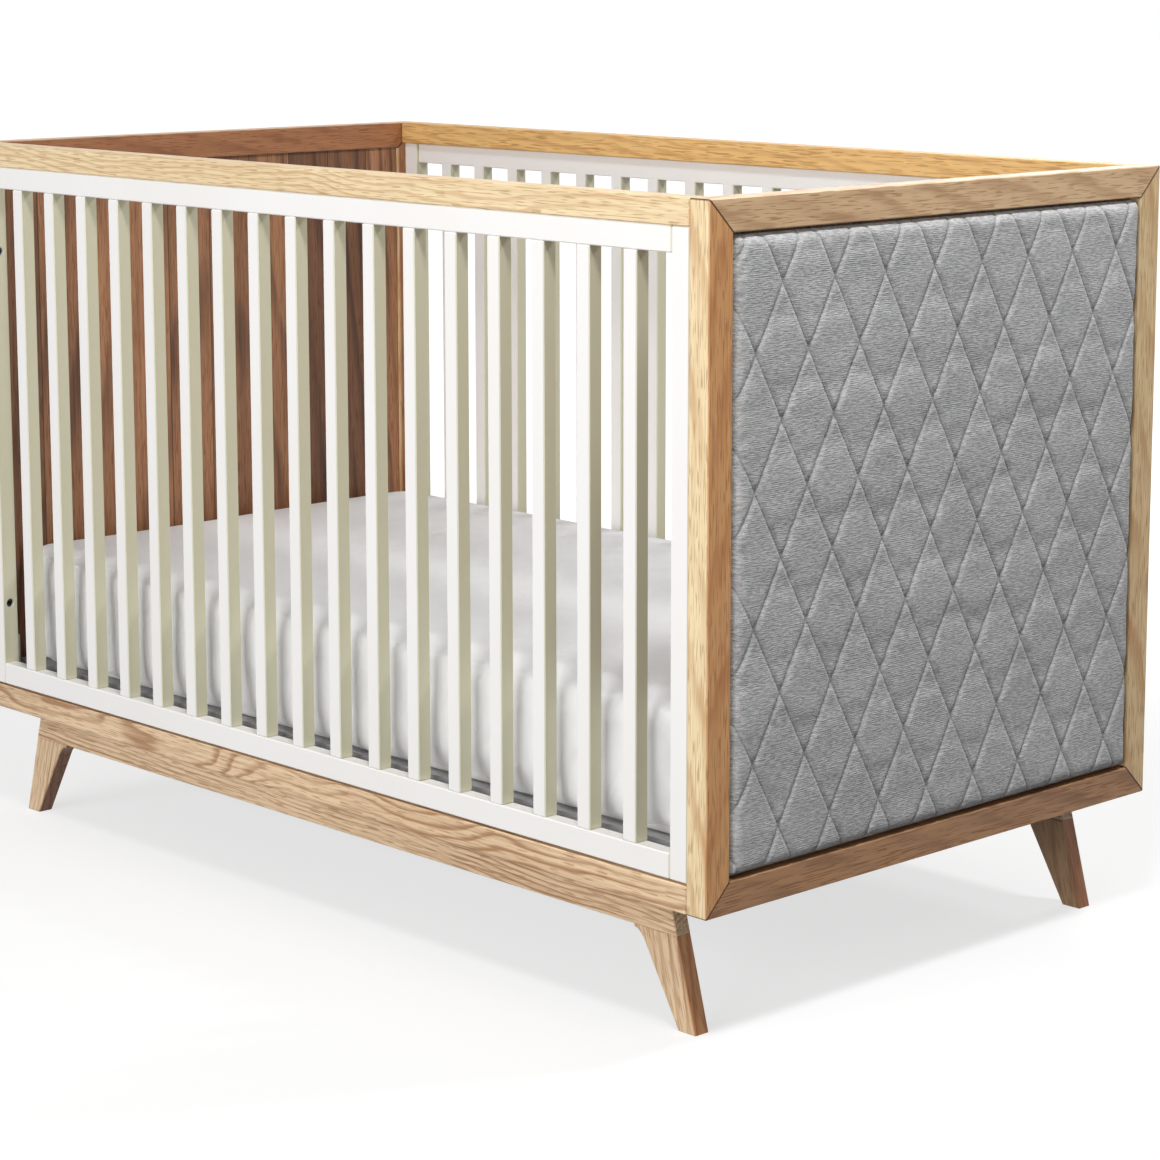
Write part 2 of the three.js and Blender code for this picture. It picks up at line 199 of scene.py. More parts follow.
drift = moved("SUBTRACT", oak_cloud(2.6, 9.0)["Color"], (0.5, 0.5, 0.5))[0]
drift = put(oak_figure, "VectorMath", {0: drift, "Scale": given["Waviness"]}, operation="SCALE").outputs[0]
bent = moved("ADD", grain, drift)[0]
from_pith = moved("LENGTH", stretch(oak_figure, bent, (0.03, 1.0, 1.0)), (0.0, 0.0, 0.0))["Value"]
ragged = oak("MULTIPLY_ADD", oak_cloud(16.0, 130.0, 1.0)[0], 0.002, from_pith)
season = oak("FRACT", oak("DIVIDE", ragged, given["Ring Width"]))
late = oak("MULTIPLY", ease(oak_figure, season, 0.40, 0.82), ease(oak_figure, season, 0.82, 1.0, 1.0, 0.0))
late = oak("MULTIPLY", late, ease(oak_figure, oak_cloud(4.0, 30.0)[0], 0.3, 0.6, 0.25, 1.0))
streak = ease(oak_figure, oak_cloud(3.0, 240.0)[0], 0.38, 0.66)
tone = oak_cloud(1.3, 9.0)[0]
pores = ease(oak_figure, oak_cloud(38.0, 720.0, 0.0)[0], 0.57, 0.68)
pores = oak("MULTIPLY", pores, oak("MULTIPLY_ADD", late, -0.7, 1.0))
depth = oak("MULTIPLY_ADD", late, 0.60, oak("MULTIPLY", streak, 0.26))
depth = oak("ADD", depth, oak("MULTIPLY_ADD", tone, 0.7, -0.31))
depth = oak("MULTIPLY", depth, given["Contrast"], clamp=True)
timber_colour = blend(oak_figure, depth, given["Pale"], given["Dark"])
timber_colour = blend(oak_figure, oak("MULTIPLY", pores, 0.55), timber_colour, PORE_BROWN, "MULTIPLY")
rough = oak("MULTIPLY_ADD", pores, 0.2, oak("MULTIPLY_ADD", late, 0.08, 0.44))
relief = oak("MULTIPLY_ADD", pores, -0.7, oak("MULTIPLY", late, 0.3))
for socket, value in (("Color", timber_colour), ("Roughness", rough), ("Height", relief)):
    oak_figure.links.new(value, result[socket])
print("oak_figure has", len(oak_figure.nodes), "nodes")

# %% [markdown]
# ## Cutting each board from its own log
#
# Boards of one piece of furniture never share a grain. Each board gets its own
# material: a Mapping node turns the grain to run along the board, moves the
# pith to a chosen place beside it, and slides the log along by a different
# length each time.

# %% Oak boards
GRAIN_TURN = {
    "x": (0.0, 0.0, 0.0),
    "y": (0.0, 0.0, -math.pi / 2),
    "z": (0.0, math.pi / 2, 0.0),
}
LEG_SPLAY = math.radians(15)
GRAIN_TURN["left leg"] = (0.0, math.pi / 2 - LEG_SPLAY, 0.0)
GRAIN_TURN["right leg"] = (0.0, math.pi / 2 + LEG_SPLAY, 0.0)
LOG_STEP = 2.37
log_slide = 0.0


def facing_side(tree, sign=1):
    normal = parts(tree, put(tree, "TexCoord").outputs["Normal"])[0]
    return ease(tree, calc(tree, "MULTIPLY", normal, sign), 0.5, 0.8)


def tinted(tree, mask, colour, tint):
    return blend(tree, mask, colour, blend(tree, 1.0, colour, (*tint, 1), "MULTIPLY"))


END_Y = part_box("right_end_back_post")[1][1]
END_LOW, END_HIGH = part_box("right_end_bottom_rail")[0][2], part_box("right_end_top_rail")[1][2]
MITRE_DARK, MITRE_FADE = 0.0010, 0.0024
MITRE_TINT = (0.30, 0.22, 0.16)


def mitre_line(tree, where):
    place = parts(tree, where)
    sideways = calc(tree, "SUBTRACT", END_Y, calc(tree, "ABSOLUTE", place[1]))
    from_top = calc(tree, "SUBTRACT", END_HIGH, place[2])
    from_foot = calc(tree, "SUBTRACT", place[2], END_LOW)
    upright = calc(tree, "MINIMUM", from_top, from_foot)
    gap = calc(tree, "ABSOLUTE", calc(tree, "SUBTRACT", sideways, upright))
    return ease(tree, gap, MITRE_DARK, MITRE_FADE, 1.0, 0.0)


PLANK_TINT, PLANK_JOINT = (0.42, 0.36, 0.33), (0.3, 0.25, 0.22)


def oak_board(
    node, along, pith, tones, ring=0.0042, wave=0.012, contrast=1.0, outward=0, outer=None, planks=0,
):
    global log_slide
    log_slide += LOG_STEP
    pale, dark = tones
    material, tree, shader = new_finish(node + "_oak", Coat_Weight=0.12, Coat_Roughness=0.4)
    turn = Matrix.Rotation(GRAIN_TURN[along][1], 3, "Y") @ Matrix.Rotation(GRAIN_TURN[along][2], 3, "Z")
    low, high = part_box(node)
    middle = (Vector(low) + Vector(high)) / 2
    slide = -(turn @ (middle + Vector(pith))) + Vector((log_slide, 0.0, 0.0))
    where = object_space(tree)
    laid = {"Vector": where, "Location": slide, "Rotation": GRAIN_TURN[along]}
    turned = put(tree, "Mapping", laid).outputs[0]
    if planks:
        strip = calc(tree, "DIVIDE", parts(tree, where)[1], planks)
        lot = put(tree, "TexWhiteNoise", {"W": calc(tree, "FLOOR", strip)}, noise_dimensions="1D").outputs
        jump = stretch(tree, lot["Color"], (3.0, 0.3, 0.05))
        turned = put(tree, "VectorMath", {0: turned, 1: jump}, operation="ADD").outputs[0]
    look = place_group(tree, oak_figure, {
        "Vector": turned, "Ring Width": ring, "Waviness": wave,
        "Pale": (*pale, 1), "Dark": (*dark, 1), "Contrast": contrast,
    })
    colour = look["Color"]
    if planks:
        edge = calc(tree, "ABSOLUTE", calc(tree, "SUBTRACT", calc(tree, "FRACT", strip), 0.5))
        colour = tinted(tree, lot["Value"], colour, PLANK_TINT)
        colour = tinted(tree, ease(tree, edge, 0.482, 0.495), colour, PLANK_JOINT)
    # Painted shade: faces turned outward are darkened by a side-shade colour.
    if outward:
        colour = tinted(tree, facing_side(tree, outward), colour, outer or PAINTED_SIDE_SHADE)
        # Painted shade: faces turned into the crib are darkened further.
        colour = tinted(tree, facing_side(tree, -outward), colour, INNER_FACE_SHADE)
    if "_end_" in node and not planks:
        colour = tinted(tree, mitre_line(tree, where), colour, MITRE_TINT)
    tree.links.new(colour, shader.inputs["Base Color"])
    tree.links.new(look["Roughness"], shader.inputs["Roughness"])
    raise_skin(tree, shader, look["Height"], 0.0003, 0.5)
    dress(node, material)


def dress(node, material):
    mesh = bpy.data.objects[node].data
    mesh.materials.clear()
    mesh.materials.append(material)


STRAW = (0.90, 0.73, 0.45), (0.54, 0.29, 0.12)
WHEAT = (0.87, 0.65, 0.42), (0.39, 0.205, 0.095)
# Darker tones for the end bottom rails: painted shade at the foot of the ends.
SHADED_TAN = (0.48, 0.24, 0.10), (0.19, 0.08, 0.03)
GOLD = (0.86, 0.54, 0.21), (0.52, 0.25, 0.075)
UMBER = (0.42, 0.20, 0.095), (0.11, 0.044, 0.021)
# Darker leg tones for the back legs: painted shade under the crib.
SHADED_RUSSET = (0.56, 0.35, 0.19), (0.24, 0.11, 0.045)
# Painted shade for the outward sides of legs and posts, and a lighter painted shade for the back posts and
# the end top rails.
PAINTED_SIDE_SHADE = (0.86, 0.55, 0.345)
LIGHT_SIDE_SHADE = (0.98, 0.90, 0.80)
# Painted shade for faces turned into the crib.
INNER_FACE_SHADE = (0.44, 0.25, 0.16)

for face, behind in (("front", 1), ("back", -1)):
    # The back legs take darker tones, as painted shade under the crib.
    rail_tones, leg_tones = (STRAW, WHEAT) if face == "front" else (GOLD, SHADED_RUSSET)
    oak_board(
        f"{face}_top_rail", "x", (0, behind * 0.16, -0.09), rail_tones,
        ring=0.0034, wave=0.036, contrast=0.85,
    )
    oak_board(f"{face}_bottom_rail", "x", (0, behind * 0.12, 0.05), WHEAT, wave=0.060, contrast=1.25)
    oak_board(
        f"{face}_apron", "x", (0, behind * 0.08, -0.16), WHEAT,
        ring=0.0034, wave=0.030, contrast=1.25,
    )
    for side, outward in (("left", -1), ("right", 1)):
        oak_board(
            f"{face}_{side}_leg", f"{side} leg", (0.12, behind * 0.10, 0), leg_tones,
            ring=0.0036, outward=outward,
        )
for side, outward in (("left", -1), ("right", 1)):
    # The front posts take the full painted side shade, the back posts the lighter one.
    for face, behind, outer in (("front", 1, PAINTED_SIDE_SHADE), ("back", -1, LIGHT_SIDE_SHADE)):
        oak_board(
            f"{side}_end_{face}_post", "z", (outward * -0.12, behind * 0.09, 0), STRAW,
            wave=0.036, outward=outward, outer=outer,
        )
    # The end top rails take the lighter painted side shade on their outer faces.
    oak_board(
        f"{side}_end_top_rail", "y", (outward * -0.10, 0, -0.13), WHEAT,
        ring=0.0036, wave=0.026, contrast=0.8, outward=outward, outer=LIGHT_SIDE_SHADE,
    )
    # The end bottom rails take darker tones, as painted shade at the foot of the ends.
    oak_board(
        f"{side}_end_bottom_rail", "y", (outward * -0.09, 0, -0.12), SHADED_TAN,
        ring=0.0040, wave=0.024,
    )
    oak_board(
        f"{side}_end_inner_panel", "z", (outward * 0.05, 0.10, 0), UMBER,
        ring=0.009, wave=0.05, contrast=1.1, planks=0.072,
    )
    oak_board(f"base_{side}_cross_rail", "y", (0, 0, 0.1), WHEAT)
print("oak boards cut:", round(log_slide / LOG_STEP))

# %% [markdown]
# ## White paint
#
# The slatted panels are sprayed with a warm white satin paint. Sprayed paint is
# never a mirror: it keeps a fine orange peel, and the wood's grain stands up a
# hair beneath it. Both are too small to model and belong in the bump.

# %% White paint
white_paint, tree, shader = new_finish("warm_white_paint", Coat_Weight=0.1, Coat_Roughness=0.3)
where = object_space(tree)
patchy = ease(tree, cloud(tree, where, (5.0, 5.0, 3.0)).outputs[0], 0.3, 0.7)
paint_and_side_shade = blend(tree, patchy, (0.93, 0.915, 0.90, 1), (0.91, 0.89, 0.87, 1))
# The sides of the slats, facing along the panel, are darkened towards khaki as painted shade between the
# slats.
SLAT_SIDE_SHADE = (0.73, 0.715, 0.54)
for sign in (1, -1):
    paint_and_side_shade = tinted(tree, facing_side(tree, sign), paint_and_side_shade, SLAT_SIDE_SHADE)
tree.links.new(paint_and_side_shade, shader.inputs["Base Color"])
tree.links.new(calc(tree, "MULTIPLY_ADD", patchy, 0.06, 0.36), shader.inputs["Roughness"])
orange_peel = cloud(tree, where, (700.0,) * 3, 1.0).outputs[0]
raised_grain = cloud(tree, where, (260.0, 260.0, 22.0)).outputs[0]
peel = calc(tree, "ADD", orange_peel, raised_grain)
raise_skin(tree, shader, peel, 0.0002, 0.35)
painted = [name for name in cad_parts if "_panel_" in name and "end_inner" not in name]
for name in painted:
    dress(name, white_paint)
print(len(painted), "painted pieces")

# %% [markdown]
# ## Metals
#
# The support is powder-coated angle steel with drawn spring wire. Its bolts are
# zinc plated, the threaded inserts are brass and the panel bolts are blackened.
# All five differ only in colour, shine and how coarse their skin is, so one
# helper makes them.

# %% Metals
def metal(name, colour, roughness, metallic, grit, relief):
    material, tree, shader = new_finish(name, Metallic=metallic)
    where = object_space(tree)
    skin = cloud(tree, where, (grit,) * 3).outputs[0]
    worn = tuple(min(1.0, c * 1.25) for c in colour)
    tint = blend(tree, ease(tree, skin, 0.35, 0.7), (*colour, 1), (*worn, 1))
    tree.links.new(tint, shader.inputs["Base Color"])
    tree.links.new(calc(tree, "MULTIPLY_ADD", skin, 0.2, roughness - 0.1), shader.inputs["Roughness"])
    raise_skin(tree, shader, skin, relief, 0.5)
    return material


FINE, COARSE = 0.00005, 0.0002
powder_coat = metal("grey_powder_coat", (0.31, 0.31, 0.32), 0.5, 0.0, 900.0, COARSE)
drawn_wire = metal("drawn_spring_wire", (0.42, 0.42, 0.43), 0.32, 1.0, 500.0, FINE)
zinc_plate = metal("zinc_plate", (0.58, 0.60, 0.62), 0.28, 1.0, 400.0, FINE)
insert_brass = metal("insert_brass", (0.70, 0.47, 0.18), 0.3, 1.0, 400.0, FINE)
black_oxide = metal("black_oxide", (0.03, 0.028, 0.027), 0.4, 0.7, 400.0, FINE)
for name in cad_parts:
    if "hanger_bracket" in name or name == "mattress_support_frame":
        dress(name, powder_coat)
    elif "support_bolt" in name:
        dress(name, zinc_plate)
    elif name == "mattress_support_springs":
        dress(name, drawn_wire)
print("metals:", [m.name for m in (powder_coat, drawn_wire, zinc_plate, insert_brass, black_oxide)])

# %% [markdown]
# ## Woven cloth
#
# The pads' heathered weave, the sheet's cotton and the mattress ticking are all
# plain weaves: threads that pass over and under each other. One group gives the
# height of such a weave and the uneven thickness of its threads, at a thread
# width set by each finish.

# %% Weave group
weave, given, result = new_group(
    "plain_weave",
    [("Vector", "Vector", None), ("Thread", "Float", 0.001)],
    [("Height", "Float"), ("Slub", "Float")],
)
pitch = calc(weave, "DIVIDE", math.pi, given["Thread"])
axes = parts(weave, given["Vector"])
waves = [calc(weave, "SINE", calc(weave, "MULTIPLY", axes[i], pitch)) for i in range(3)]
over = calc(weave, "MULTIPLY", calc(weave, "ADD", waves[0], waves[1]), waves[2])
slub = cloud(weave, given["Vector"], (55.0, 55.0, 420.0), 3.0).outputs[0]
weave.links.new(over, result["Height"])
weave.links.new(slub, result["Slub"])
print("plain_weave has", len(weave.nodes), "nodes")

# %% [markdown]
# ## Small helpers for new pieces
#
# A new piece ends as an object at the origin, with its place in its mesh, that
# rides on one body and takes one finish.

# %% Finishing a piece
def finish_piece(shape, name, body, material, smooth=True):
    mesh = bpy.data.meshes.new(name)
    shape.to_mesh(mesh)
    shape.free()
    mesh.materials.append(material)
    for polygon in mesh.polygons:
        polygon.use_smooth = smooth
    piece = bpy.data.objects.new(name, mesh)
    bpy.context.collection.objects.link(piece)
    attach(piece, body)
    return piece


CLOTH = {
    "quality": 6, "mass": 0.25, "tension_stiffness": 12, "compression_stiffness": 12,
    "shear_stiffness": 6, "bending_stiffness": 0.4, "use_pressure": True, "pin_stiffness": 1,
}
CLOTH_FRAMES = 20


def run_cloth(piece, pins, pressure, slack, slack_group=None):
    cloth = piece.modifiers.new("cloth", "CLOTH")
    settings = cloth.settings
    for option, value in CLOTH.items():
        setattr(settings, option, value)
    settings.effector_weights.gravity = 0
    settings.uniform_pressure_force = pressure
    settings.shrink_min = slack
    settings.vertex_group_mass = pins
    if slack_group:
        settings.shrink_min, settings.shrink_max = 0.0, slack
        settings.vertex_group_shrink = slack_group
    cloth.collision_settings.use_collision = False
    cloth.point_cache.frame_start, cloth.point_cache.frame_end = 1, CLOTH_FRAMES
    for step in range(1, CLOTH_FRAMES + 1):
        bpy.context.scene.frame_set(step)
    evaluated = piece.evaluated_get(bpy.context.evaluated_depsgraph_get())
    settled = [vertex.co.copy() for vertex in evaluated.data.vertices]
    piece.modifiers.remove(cloth)
    bpy.context.scene.frame_set(1)
    return settled


def points_of(grown):
    return [item for item in grown if isinstance(item, bmesh.types.BMVert)]


def open_edges(shape):
    return [edge for edge in shape.edges if edge.is_boundary]


print("piece helpers ready")

# %% [markdown]
# ## Quilted pads
#
# Each end is filled by a board covered with foam and a heathered grey weave,
# quilted in tall diamonds. The diamonds could be painted on, carved with a
# formula or blown up as cloth. Cloth gives the pillow shape and the small
# creases for free, if the seams are held still. So the grid's cells are drawn
# in the diamonds' own proportions: then both seam directions run exactly
# through its corners, and those points are pinned.

# %% Quilt layout
COLUMNS, ROWS = 168, 93
HALF_DIAMOND = 10  # grid cells
SEAM_COLUMN, SEAM_ROW = 87, 76
PAD_LOW, PAD_HIGH = (Vector(corner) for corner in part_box("right_end_quilted_pad"))
PAD_WIDTH, PAD_HEIGHT = PAD_HIGH.y - PAD_LOW.y, PAD_HIGH.z - PAD_LOW.z
CELL_Y, CELL_Z = PAD_WIDTH / COLUMNS, PAD_HEIGHT / ROWS
SEAM_DEPTH, WRAP = 0.0015, 0.0105
PUFF, PLUMP, PUFF_REACH = 0.0008, 3.2, 0.008
HALF_Y, HALF_Z = HALF_DIAMOND * CELL_Y, HALF_DIAMOND * CELL_Z
SEAM_Y = PAD_LOW.y + SEAM_COLUMN * CELL_Y
SEAM_Z = PAD_LOW.z + SEAM_ROW * CELL_Z
SEAM_SPACING = 2 * HALF_Y * HALF_Z / math.hypot(HALF_Y, HALF_Z)
print("diamonds", round(2000 * HALF_Y, 1), "by", round(2000 * HALF_Z, 1), "mm")


def seam_gaps(y, z):
    across, down = (y - SEAM_Y) / HALF_Y, (z - SEAM_Z) / HALF_Z
    ways = across + down, across - down
    return [SEAM_SPACING * abs((way / 2 + 0.5) % 1.0 - 0.5) for way in ways]


# %% Quilted pad of the right end
WRAP_RINGS = 1.003, 1.0, 0.997


def quilted_cover():
    cover = bmesh.new()
    bmesh.ops.create_grid(cover, x_segments=COLUMNS, y_segments=ROWS, size=0.5)
    upright = Matrix(((0, 0, 1, 0), (1, 0, 0, 0), (0, 1, 0, 0), (0, 0, 0, 1)))
    size = Matrix.Diagonal((1.0, PAD_WIDTH, PAD_HEIGHT, 1.0))
    centre = (PAD_LOW + PAD_HIGH) / 2
    centre.x = PAD_HIGH.x - SEAM_DEPTH
    bmesh.ops.transform(cover, matrix=Matrix.Translation(centre) @ size @ upright, verts=cover.verts)
    rim = open_edges(cover)
    for growth in WRAP_RINGS:
        grown = bmesh.ops.extrude_edge_only(cover, edges=rim)["geom"]
        wrapped = points_of(grown)
        rim = [item for item in grown if isinstance(item, bmesh.types.BMEdge) and item.is_boundary]
        bmesh.ops.translate(cover, vec=(-WRAP / len(WRAP_RINGS), 0, 0), verts=wrapped)
        about = Matrix.Translation(centre)
        tucked = about @ Matrix.Diagonal((1, growth, growth, 1)) @ about.inverted()
        bmesh.ops.transform(cover, matrix=tucked, verts=wrapped)
    edge_zone = [v for v in cover.verts if not v.is_boundary and (
        min(v.co.y - PAD_LOW.y, PAD_HIGH.y - v.co.y) < 2.5 * CELL_Y
        or min(v.co.z - PAD_LOW.z, PAD_HIGH.z - v.co.z) < 1.5 * CELL_Z)]
    for _ in range(3):
        bmesh.ops.smooth_vert(
            cover, verts=edge_zone, factor=0.5,
            use_axis_x=True, use_axis_y=True, use_axis_z=True,
        )
    bmesh.ops.recalc_face_normals(cover, faces=cover.faces)
    return cover


cover = quilted_cover()
if sum(face.normal.x for face in cover.faces) < 0:
    bmesh.ops.reverse_faces(cover, faces=cover.faces)
right_pad = finish_piece(cover, "right_end_quilted_cover", CRIB, white_paint)
flat = [vertex.co.copy() for vertex in right_pad.data.vertices]
front_plane = PAD_HIGH.x - SEAM_DEPTH
held = []
for index, spot in enumerate(flat):
    column = round((spot.y - PAD_LOW.y) / CELL_Y) - SEAM_COLUMN
    row = round((spot.z - PAD_LOW.z) / CELL_Z) - SEAM_ROW
    on_seam = 0 in ((column + row) % (2 * HALF_DIAMOND), (column - row) % (2 * HALF_DIAMOND))
    if on_seam or spot.x < front_plane - 0.6 * WRAP:
        held.append(index)
right_pad.vertex_groups.new(name="seams").add(held, 1.0, "REPLACE")
puffed = flat
puffed = run_cloth(right_pad, "seams", pressure=3.0, slack=-0.012)
most = 0.0
for vertex, start, end in zip(right_pad.data.vertices, flat, puffed):
    shift = end - start
    reach = shift.length
    most = max(most, reach)
    if reach > 1e-9:
        shift *= PUFF * math.tanh(PLUMP * reach / PUFF) / reach
    vertex.co = start + shift
print("quilt puffs", round(1000 * most, 1), "mm before the cap;", len(held), "points held")

# %% [markdown]
# ## Heathered grey weave
#
# Heather cloth mixes light and dark fibres, which run with the weft in short
# streaks. The seams are found with the same sums that placed them, and the
# colour is darkened along the bottom of each groove and in the dimples where
# they cross: painted shade in the hollows.

# %% Pad cloth
heather, tree, shader = new_finish(
    "heathered_grey_weave", Roughness=0.92, Sheen_Weight=0.25, Sheen_Roughness=0.5,
)
where = object_space(tree)
threads = place_group(tree, weave, {"Vector": where, "Thread": 0.0011})
weft = ease(tree, cloud(tree, where, (110.0, 110.0, 520.0), 3.0).outputs[0], 0.30, 0.70)
fleck = cloud(tree, where, (400.0, 400.0, 700.0), 1.0).outputs[0]
mottle = ease(tree, cloud(tree, where, (9.0, 9.0, 38.0), 3.0).outputs[0], 0.25, 0.75)
shade = calc(tree, "MULTIPLY_ADD", weft, 0.55, calc(tree, "MULTIPLY", mottle, 0.25))
shade = calc(tree, "MULTIPLY_ADD", fleck, 0.7, calc(tree, "SUBTRACT", shade, 0.22))
DARK_FIBRE, PALE_FIBRE = (0.30, 0.302, 0.31, 1), (0.78, 0.782, 0.79, 1)
GROOVE_SHADE_GREY, GROOVE_SHADE_SHARE = (0.42, 0.42, 0.43, 1), 0.30
cloth_colour = blend(tree, shade, DARK_FIBRE, PALE_FIBRE)
place = parts(tree, where)
across = calc(tree, "DIVIDE", calc(tree, "SUBTRACT", place[1], SEAM_Y), 2 * HALF_Y)
down = calc(tree, "DIVIDE", calc(tree, "SUBTRACT", place[2], SEAM_Z), 2 * HALF_Z)
gaps = []
for operation in ("ADD", "SUBTRACT"):
    turns = calc(tree, "FRACT", calc(tree, "ADD", calc(tree, operation, across, down), 100.5))
    off_seam = calc(tree, "ABSOLUTE", calc(tree, "SUBTRACT", turns, 0.5))
    gaps.append(calc(tree, "MULTIPLY", off_seam, SEAM_SPACING))
groove = ease(tree, calc(tree, "MINIMUM", *gaps), 0.0, 0.0016, 1.0, 0.0)
dimple = ease(tree, calc(tree, "MAXIMUM", *gaps), 0.001, 0.006, 1.0, 0.0)
groove = calc(tree, "MAXIMUM", groove, dimple)
# Painted shade: the grooves and the dimples where seams cross are darkened in the colour.
painted_groove_shade = calc(tree, "MULTIPLY", groove, GROOVE_SHADE_SHARE)
cloth_colour = blend(tree, painted_groove_shade, cloth_colour, GROOVE_SHADE_GREY, "MULTIPLY")
tree.links.new(cloth_colour, shader.inputs["Base Color"])
nap = calc(tree, "MULTIPLY_ADD", threads["Height"], 0.35, calc(tree, "ADD", threads["Slub"], weft))
nap = calc(tree, "MULTIPLY_ADD", groove, -1.5, nap)
raise_skin(tree, shader, nap, 0.0006, 0.6)
right_pad.data.materials[0] = heather
print("heather cloth on", right_pad.name)

# %% [markdown]
# ## Puckers and the second pad
#
# Quilting draws the cloth up into fine puckers beside each seam. They are about
# as long as a fingertip is wide, smaller than the grid that was simulated, so
# they are added after one subdivision. The stitched grooves, the dimples where
# they cross and the crown that rolls down to the frame go in at the same time.
# Each square is then split along its own seam, so the groove stays one clean
# line. The left pad is the mirror of the right.

# %% Puckers and mirror
def subdivided(piece):
    modifier = piece.modifiers.new("smooth", "SUBSURF")
    modifier.levels = modifier.render_levels = 1
    evaluated = piece.evaluated_get(bpy.context.evaluated_depsgraph_get())
    finer = bpy.data.meshes.new_from_object(evaluated)
    piece.modifiers.remove(modifier)
    piece.data = finer
    return finer


GROOVE_DEPTH, GROOVE_WIDTH, DIMPLE, DIMPLE_WIDTH = 0.0028, 0.0028, 0.0008, 0.006
CROWN, EDGE_DROP, EDGE_ROLL = 0.0052, 0.0062, 0.0032
PUCKER, PUCKER_FROM_SEAM, PUCKER_WIDTH, SWELL = 0.0003, 0.012, 0.007, 0.0005


def quilt_relief(spot):
    gap, crossing = sorted(seam_gaps(spot.y, spot.z))
    near = math.exp(-((gap - PUCKER_FROM_SEAM) / PUCKER_WIDTH) ** 2)
    ripple = noise.noise(Vector((spot.x * 20, spot.y * 95, spot.z * 60)))
    swell = noise.noise(Vector((3.7, spot.y * 9, spot.z * 19)))
    rim = min(spot.y - PAD_LOW.y, PAD_HIGH.y - spot.y, spot.z - PAD_LOW.z, PAD_HIGH.z - spot.z)
    groove = GROOVE_DEPTH * math.exp(-((gap / GROOVE_WIDTH) ** 1.5))
    groove += DIMPLE * math.exp(-((crossing / DIMPLE_WIDTH) ** 2))
    on_face = min(1.0, max(0.0, (spot.x - front_plane + 0.5 * WRAP) / (0.4 * WRAP)))
    rolled = CROWN - (CROWN + EDGE_DROP) * math.exp(-max(0.0, rim) / EDGE_ROLL)
    return PUCKER * near * ripple + SWELL * swell + on_face * (rolled - groove)


finer = subdivided(right_pad)
for vertex in finer.vertices:
    vertex.co.x += quilt_relief(vertex.co)
sharper = bmesh.new()
sharper.from_mesh(finer)
along, crosswise = [], []
for face in sharper.faces:
    middle = face.calc_center_median()
    falling, rising = seam_gaps(middle.y, middle.z)
    diagonal = face.verts[2].co - face.verts[0].co
    fits = (diagonal.y * diagonal.z > 0) == (rising < falling)
    (along if fits else crosswise).append(face)
bmesh.ops.triangulate(sharper, faces=along, quad_method="FIXED")
bmesh.ops.triangulate(sharper, faces=crosswise, quad_method="ALTERNATE")
sharper.to_mesh(finer)
sharper.free()
left_shape = bmesh.new()
left_shape.from_mesh(finer)
bmesh.ops.scale(left_shape, vec=(-1, 1, 1), verts=left_shape.verts)
bmesh.ops.reverse_faces(left_shape, faces=left_shape.faces)
left_pad = finish_piece(left_shape, "left_end_quilted_cover", CRIB, heather)
for side, pad in (("right", right_pad), ("left", left_pad)):
    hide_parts(f"{side}_end_quilted_pad")
print("pad triangles", len(finer.polygons))

# %% [markdown]
# ## Mattress
#
# The core is a foam block in a plain ticking, which shows only from below,
# between the wires. It is a box with its edges rounded, made a little smaller
# than the whole mattress, so that the sheet has room to fold over it.

# %% Mattress core
CORE_LOW, CORE_HIGH = (Vector(corner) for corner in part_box("mattress"))
CORNER = 0.045
CORE_SHAPE = 0.014, 0.020, 0.008  # inset, rounding of the top edge, of the bottom edge
SHEET_SHAPE = 0.0015, 0.016, 0.008


def cushion_block(inset, top_edge, bottom_edge):
    low, high = CORE_LOW + Vector((inset,) * 3), CORE_HIGH - Vector((inset,) * 3)
    low.z = CORE_LOW.z
    block = bmesh.new()
    bmesh.ops.create_cube(block, size=1.0)
    bmesh.ops.scale(block, vec=high - low, verts=block.verts)
    bmesh.ops.translate(block, vec=(low + high) / 2, verts=block.verts)
    uprights = [e for e in block.edges if abs(e.verts[0].co.z - e.verts[1].co.z) > 0.05]
    rounding = {"affect": "EDGES", "profile": 0.5, "material": -1}
    bmesh.ops.bevel(block, geom=uprights, offset=CORNER, segments=8, **rounding)
    for height, radius in ((high.z, top_edge), (low.z, bottom_edge)):
        rim = [e for e in block.edges if all(abs(v.co.z - height) < 0.001 for v in e.verts)]
        bmesh.ops.bevel(block, geom=rim, offset=radius, segments=4, **rounding)
    return block


ticking, tree, shader = new_finish("white_ticking", Roughness=0.9)
where = object_space(tree)
threads = place_group(tree, weave, {"Vector": where, "Thread": 0.0008})
STRIPE_TURN = 314.0  # radians a metre, so a stripe every 20 mm
across = calc(tree, "MULTIPLY", parts(tree, where)[1], STRIPE_TURN)
stripe = ease(tree, calc(tree, "SINE", across), 0.7, 0.9)
striped = blend(tree, stripe, (0.76, 0.75, 0.72, 1), (0.52, 0.56, 0.60, 1))
tree.links.new(striped, shader.inputs["Base Color"])
raise_skin(tree, shader, threads["Height"], 0.0003, 0.4)
core = finish_piece(cushion_block(*CORE_SHAPE), "mattress_core", MATTRESS, ticking)
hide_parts("mattress")
print("core", [round(1000 * v) for v in (CORE_HIGH - CORE_LOW)], "mm")

# %% [markdown]
# ## White cotton
#
# Bed linen is white, so only its shading shows that it is cloth. The top is
# given a greyer white than the sides, as painted shade, since it faces the light
# and would burn out. Fine slanting creases in the bump carry on below the size
# of the modelled folds.

